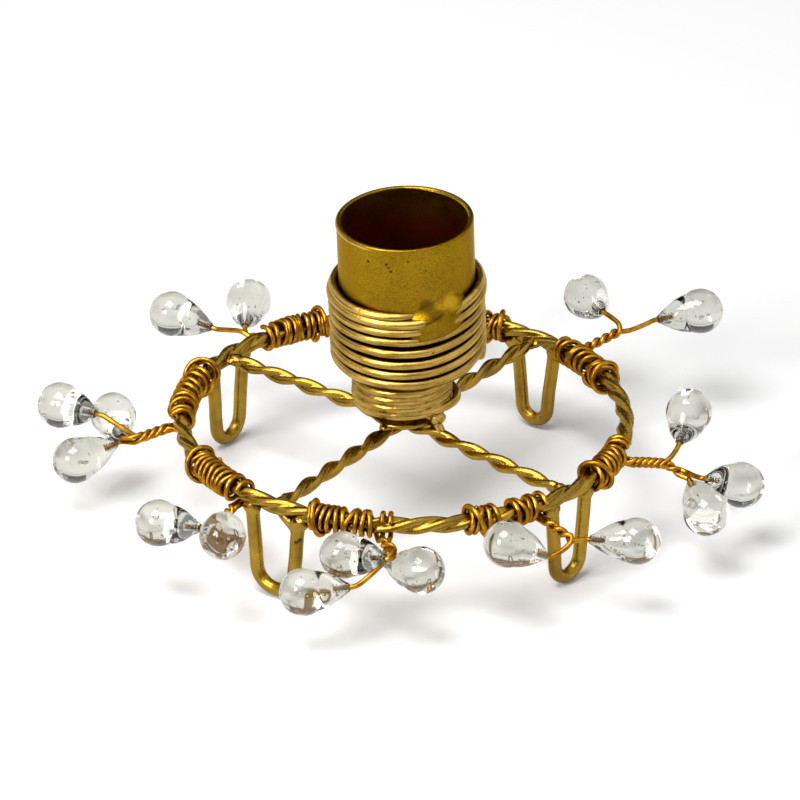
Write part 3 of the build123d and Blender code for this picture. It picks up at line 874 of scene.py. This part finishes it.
def spray(name):
    """Wires that are wrapped round or hooked over the ring, twisted, and end in drops."""
    plan = SPRAYS[name]
    bearing, forks, order = plan.bearing, plan.forks, plan.order
    chance = random.Random(name)
    last_wrap = plan.wraps[-1][1]
    twisted = [number for number in range(len(plan.drops)) if number not in plan.direct]
    places = sorted(order[number] for number in twisted)
    exits = []
    for place in order:
        if place == 0:
            exits.append(wrap_points(plan.wraps, plan.leave, chance))
        else:
            exits.append(hook_points(last_wrap + place * STEP_BEARING, plan.leave))
    root = sum((exits[number][-1] for number in twisted), Vector()) / len(twisted)
    root_bearing = last_wrap + sum(places) / len(places) * STEP_BEARING
    root_way = direction(root_bearing, 0, plan.leave + 90)
    spots = [ring_point(bearing, *(share * SPRAY_REACH for share in fork)) for fork in forks]
    first_way = ((spots[1] if len(spots) > 1 else spots[0]) - root).normalized()
    for number, (tip_share, heading, pitch) in enumerate(plan.drops):
        points = exits[number]
        if number in twisted:
            first_angle = STEM_ANGLES[len(twisted)][places.index(order[number])]
            points = points + stem_points(root, root_way, spots[0], first_way,
                                          STEM_SPREADS[len(twisted)], first_angle,
                                          plan.turn, GATHER)
        if len(spots) > 1 and number > 0:
            way = (spots[1] - spots[0]).normalized()
            points = points + stem_points(spots[0], first_way, spots[1], way, STEM_SPREADS[2],
                                          FORK_ANGLE + 180 * number, FORK_TURN, FORK_GATHER)
        tip = ring_point(bearing, *(share * SPRAY_REACH for share in tip_share))
        way = direction(bearing, heading, pitch)
        before = points[-1]
        reach = (tip - before).length
        last_way = (points[-1] - points[-2]).normalized()
        for share in (0.3, 0.55, 0.8):
            points.append(hermite(before, last_way * FREE_PULL, tip, way * FREE_PULL, share)
                          + wobble(before, scale=1.3, amount=0.10 * reach / 4, seed=share))
        points += [tip + way * distance for distance in SEAT_DISTANCES]
        builder = Builder()
        builder.add_tube(spline(points, 0.42), FINE_RADIUS, sides=10)
        wire_name = name + "_wire_" + str(number + 1)
        builder.make(wire_name + "_bent", COPPER, (wire_name,))
        glass_drop(name + "_drop_" + str(number + 1), tip, way, chance)


DROP_LENGTH = 12.5
BELLY_RADIUS = 4.17
BELLY = DROP_LENGTH - BELLY_RADIUS
TIP_RADIUS = 1.0
DROP_SLOPE = math.asin((BELLY_RADIUS - TIP_RADIUS) / (BELLY - TIP_RADIUS))
HOLE_RADIUS = 0.52
HOLE_DEPTH = 3.4
HOLE_MOUTH = 0.14
# How much fuller than a plain cone the drop is between its tip and belly
CONE_SWELL = 0.42
BUBBLE_SIZES = (0.05, 0.07, 0.1, 0.14, 0.22)
# The drop bends from this distance on, and its skin has this grain, unevenness and inset
BEND_FROM = 4
SKIN_GRAIN, SKIN_DEPTH, SKIN_INSET = 0.28, 0.09, 0.05


def drop_profile():
    """Distances from the tip with radii: the wire hole, the tip, the cone and the belly."""
    profile = []
    hole_steps, tip_steps, cone_steps, belly_steps = 24, 8, 24, 44
    for index in range(hole_steps + 1):
        share = 1 - index / hole_steps
        ripple = 0.05 * math.sin(share * 34) * (1 if 0 < index < hole_steps else 0)
        profile.append((HOLE_MOUTH + (HOLE_DEPTH - HOLE_MOUTH) * share, HOLE_RADIUS + ripple))
    start_angle = math.asin(HOLE_RADIUS / TIP_RADIUS)
    for index in range(1, tip_steps + 1):
        angle = start_angle + (math.pi / 2 - DROP_SLOPE - start_angle) * index / tip_steps
        profile.append((TIP_RADIUS * (1 - math.cos(angle)), TIP_RADIUS * math.sin(angle)))
    start = profile[-1]
    end = (BELLY - BELLY_RADIUS * math.sin(DROP_SLOPE), BELLY_RADIUS * math.cos(DROP_SLOPE))
    for index in range(1, cone_steps):
        share = index / cone_steps
        swell = CONE_SWELL * math.sin(math.pi * share) ** 1.2
        profile.append((start[0] + (end[0] - start[0]) * share,
                        start[1] + (end[1] - start[1]) * share + swell))
    for index in range(belly_steps):
        angle = math.pi / 2 - DROP_SLOPE + (math.pi / 2 + DROP_SLOPE) * index / belly_steps
        profile.append((BELLY - BELLY_RADIUS * math.cos(angle), BELLY_RADIUS * math.sin(angle)))
    return profile


def glass_drop(name, tip, way, chance):
    """A cast glass drop, a little uneven, with its wire hole and bubbles."""
    side = UP.cross(way).normalized()
    other = way.cross(side)
    columns = 48
    bend = chance.uniform(-0.02, 0.02)
    flat = chance.uniform(0.985, 1.0)
    builder = Builder()
    rings = []
    for distance, size in drop_profile():
        ring = []
        for column in range(columns):
            turn = 2 * math.pi * column / columns
            across = math.cos(turn) * size * flat + bend * max(distance - BEND_FROM, 0)
            point = tip + way * distance + side * across + other * math.sin(turn) * size
            # the skin is uneven, but not in the hole
            if size > 0.8:
                middle = tip + way * min(distance, BELLY)
                skin = noise.noise(point * SKIN_GRAIN) * SKIN_DEPTH - SKIN_INSET
                point += (point - middle).normalized() * skin
            ring.append(point)
        rings.append(ring)
    builder.add_rings(rings)
    for _ in range(chance.randint(7, 22)):
        distance = chance.uniform(4.2, BELLY + 1.5)
        room = 0.8 * (TIP_RADIUS + (BELLY_RADIUS - TIP_RADIUS) * min(distance / BELLY, 1))
        angle = chance.uniform(0, 2 * math.pi)
        away = room * math.sqrt(chance.random())
        centre = tip + way * distance + (side * math.cos(angle) + other * math.sin(angle)) * away
        add_bubble(builder, centre, chance.choice(BUBBLE_SIZES), side, other, way)
    builder.make(name + "_glass", GLASS, (name,))


def add_bubble(builder, centre, size, side, other, way):
    """A bubble, drawn out along the drop."""
    rows, columns, stretch = 6, 8, 1.6
    rings = []
    for row in range(1, rows):
        tall = math.pi * row / rows
        rings.append([centre + (side * math.cos(turn) * math.sin(tall)
                                + other * math.sin(turn) * math.sin(tall)
                                + way * math.cos(tall) * stretch) * size
                      for turn in (2 * math.pi * column / columns for column in range(columns))])
    builder.add_rings(rings)


ring()
for name, values in ARMS.items():
    arm(name, *values)
for name, values in FEET.items():
    foot(name, *values)
cup_winding()
lip()
pool()
neck_winding()
hub()
for name in SPRAYS:
    spray(name)

cup = frame["nodes"]["candle_cup"]
cup.data.materials.clear()
cup.data.materials.append(CUP_GOLD)


# The studio is in metres. The lamps and boards face this place
TARGET = (0, 0, 0.02)
FLOOR_HEIGHT = -0.0002
FLOOR_GREY = 0.86
FLOOR_GLOW = 0.10
# The world's strength as a light, and to the rays that see it
WORLD_LIGHT, WORLD_SEEN = 0.25, 1.0


def turned_to_target(place):
    return (Vector(TARGET) - Vector(place)).to_track_quat("-Z", "Y")


def plane(name, centre, width, depth, turn=Matrix()):
    half_x, half_y = width / 2, depth / 2
    mesh = bpy.data.meshes.new(name)
    corners = [Vector((-half_x, -half_y, 0)), Vector((half_x, -half_y, 0)),
               Vector((half_x, half_y, 0)), Vector((-half_x, half_y, 0))]
    mesh.from_pydata([tuple(Vector(centre) + turn @ corner) for corner in corners], [],
                     [(0, 1, 2, 3)])
    obj = bpy.data.objects.new(name, mesh)
    bpy.context.scene.collection.objects.link(obj)
    return obj


def seen_rays(nodes, links):
    """1 for camera, glossy and transmission rays, 0 for the rest."""
    path = nodes.new("ShaderNodeLightPath")
    result = path.outputs["Is Camera Ray"]
    for ray in ("Is Glossy Ray", "Is Transmission Ray"):
        either = nodes.new("ShaderNodeMath")
        either.operation = "MAXIMUM"
        links.new(result, either.inputs[0])
        links.new(path.outputs[ray], either.inputs[1])
        result = either.outputs[0]
    return result


def floor():
    """A pale floor that glows a little to the rays that see it, and keeps the shadow."""
    obj = plane("floor", (0, 0, FLOOR_HEIGHT), width=6, depth=6)
    material = bpy.data.materials.new("floor")
    material.use_nodes = True
    nodes, links = material.node_tree.nodes, material.node_tree.links
    nodes.clear()
    output = nodes.new("ShaderNodeOutputMaterial")
    diffuse = nodes.new("ShaderNodeBsdfDiffuse")
    diffuse.inputs["Color"].default_value = (FLOOR_GREY, FLOOR_GREY, FLOOR_GREY, 1)
    glow = nodes.new("ShaderNodeEmission")
    scale = nodes.new("ShaderNodeMath")
    scale.operation = "MULTIPLY"
    scale.inputs[1].default_value = FLOOR_GLOW
    links.new(seen_rays(nodes, links), scale.inputs[0])
    links.new(scale.outputs[0], glow.inputs["Strength"])
    both = nodes.new("ShaderNodeAddShader")
    links.new(diffuse.outputs[0], both.inputs[0])
    links.new(glow.outputs[0], both.inputs[1])
    links.new(both.outputs[0], output.inputs["Surface"])
    obj.data.materials.append(material)


def world():
    """White to the rays that see it, dim as a light."""
    sky = bpy.data.worlds.new("studio")
    sky.use_nodes = True
    nodes, links = sky.node_tree.nodes, sky.node_tree.links
    background = nodes["Background"]
    background.inputs["Color"].default_value = (1, 1, 1, 1)
    span = nodes.new("ShaderNodeMapRange")
    span.inputs["To Min"].default_value = WORLD_LIGHT
    span.inputs["To Max"].default_value = WORLD_SEEN
    links.new(seen_rays(nodes, links), span.inputs["Value"])
    links.new(span.outputs["Result"], background.inputs["Strength"])
    bpy.context.scene.world = sky


def lamp(name, place, size, watts):
    data = bpy.data.lights.new(name, "AREA")
    data.shape = "RECTANGLE"
    data.size, data.size_y = size
    data.energy = watts
    obj = bpy.data.objects.new(name, data)
    obj.location = place
    obj.rotation_euler = turned_to_target(place).to_euler()
    bpy.context.scene.collection.objects.link(obj)


def card(name, place, size, grey):
    """A dark board that only the metal and glass see."""
    obj = plane(name, place, *size, turned_to_target(place).to_matrix())
    material = bpy.data.materials.new(name)
    material.use_nodes = True
    surface = material.node_tree.nodes["Principled BSDF"]
    surface.inputs["Base Color"].default_value = (grey, grey, grey, 1)
    surface.inputs["Roughness"].default_value = 0.9
    obj.data.materials.append(material)
    obj.visible_camera = False
    obj.visible_diffuse = False
    obj.visible_shadow = False


def camera():
    """The photograph's camera, fitted to its ring, cup and feet; lengths in millimetres."""
    distance, pixels_per_mm = 1200.0, 5.667
    picture_pixels, sensor_width = 800, 36
    rise, roll = math.radians(27.97), math.radians(0.55)
    target = Vector((-0.65, 0, 21.27))
    back = Vector((0, -math.cos(rise), math.sin(rise)))
    up = Vector((0, math.sin(rise), math.cos(rise)))
    right = Vector((1, 0, 0))
    tilted_right = right * math.cos(roll) + up * math.sin(roll)
    tilted_up = up * math.cos(roll) - right * math.sin(roll)
    data = bpy.data.cameras.new("camera")
    data.sensor_width = sensor_width
    data.lens = pixels_per_mm * distance / picture_pixels * sensor_width
    data.clip_end = 20
    obj = bpy.data.objects.new("camera", data)
    matrix = Matrix((tilted_right, tilted_up, back)).transposed().to_4x4()
    matrix.translation = (target + back * distance) * MM
    obj.matrix_world = matrix
    bpy.context.scene.collection.objects.link(obj)
    bpy.context.scene.camera = obj


floor()
world()
lamp("key", (-0.25, -0.25, 0.93), (0.60, 0.50), 8.5)
lamp("side", (-0.60, -0.62, 0.50), (0.30, 0.34), 6.0)
card("low_front_board", (0.0, -0.70, 0.10), (0.9, 0.30), 0.02)
card("left_board", (-0.80, 0.05, 0.25), (0.7, 0.30), 0.22)
card("right_board", (0.80, 0.25, 0.30), (0.7, 0.26), 0.22)
card("back_board", (0.0, 0.90, 0.45), (1.1, 0.80), 0.05)
camera()
bpy.context.scene.view_settings.view_transform = "Standard"
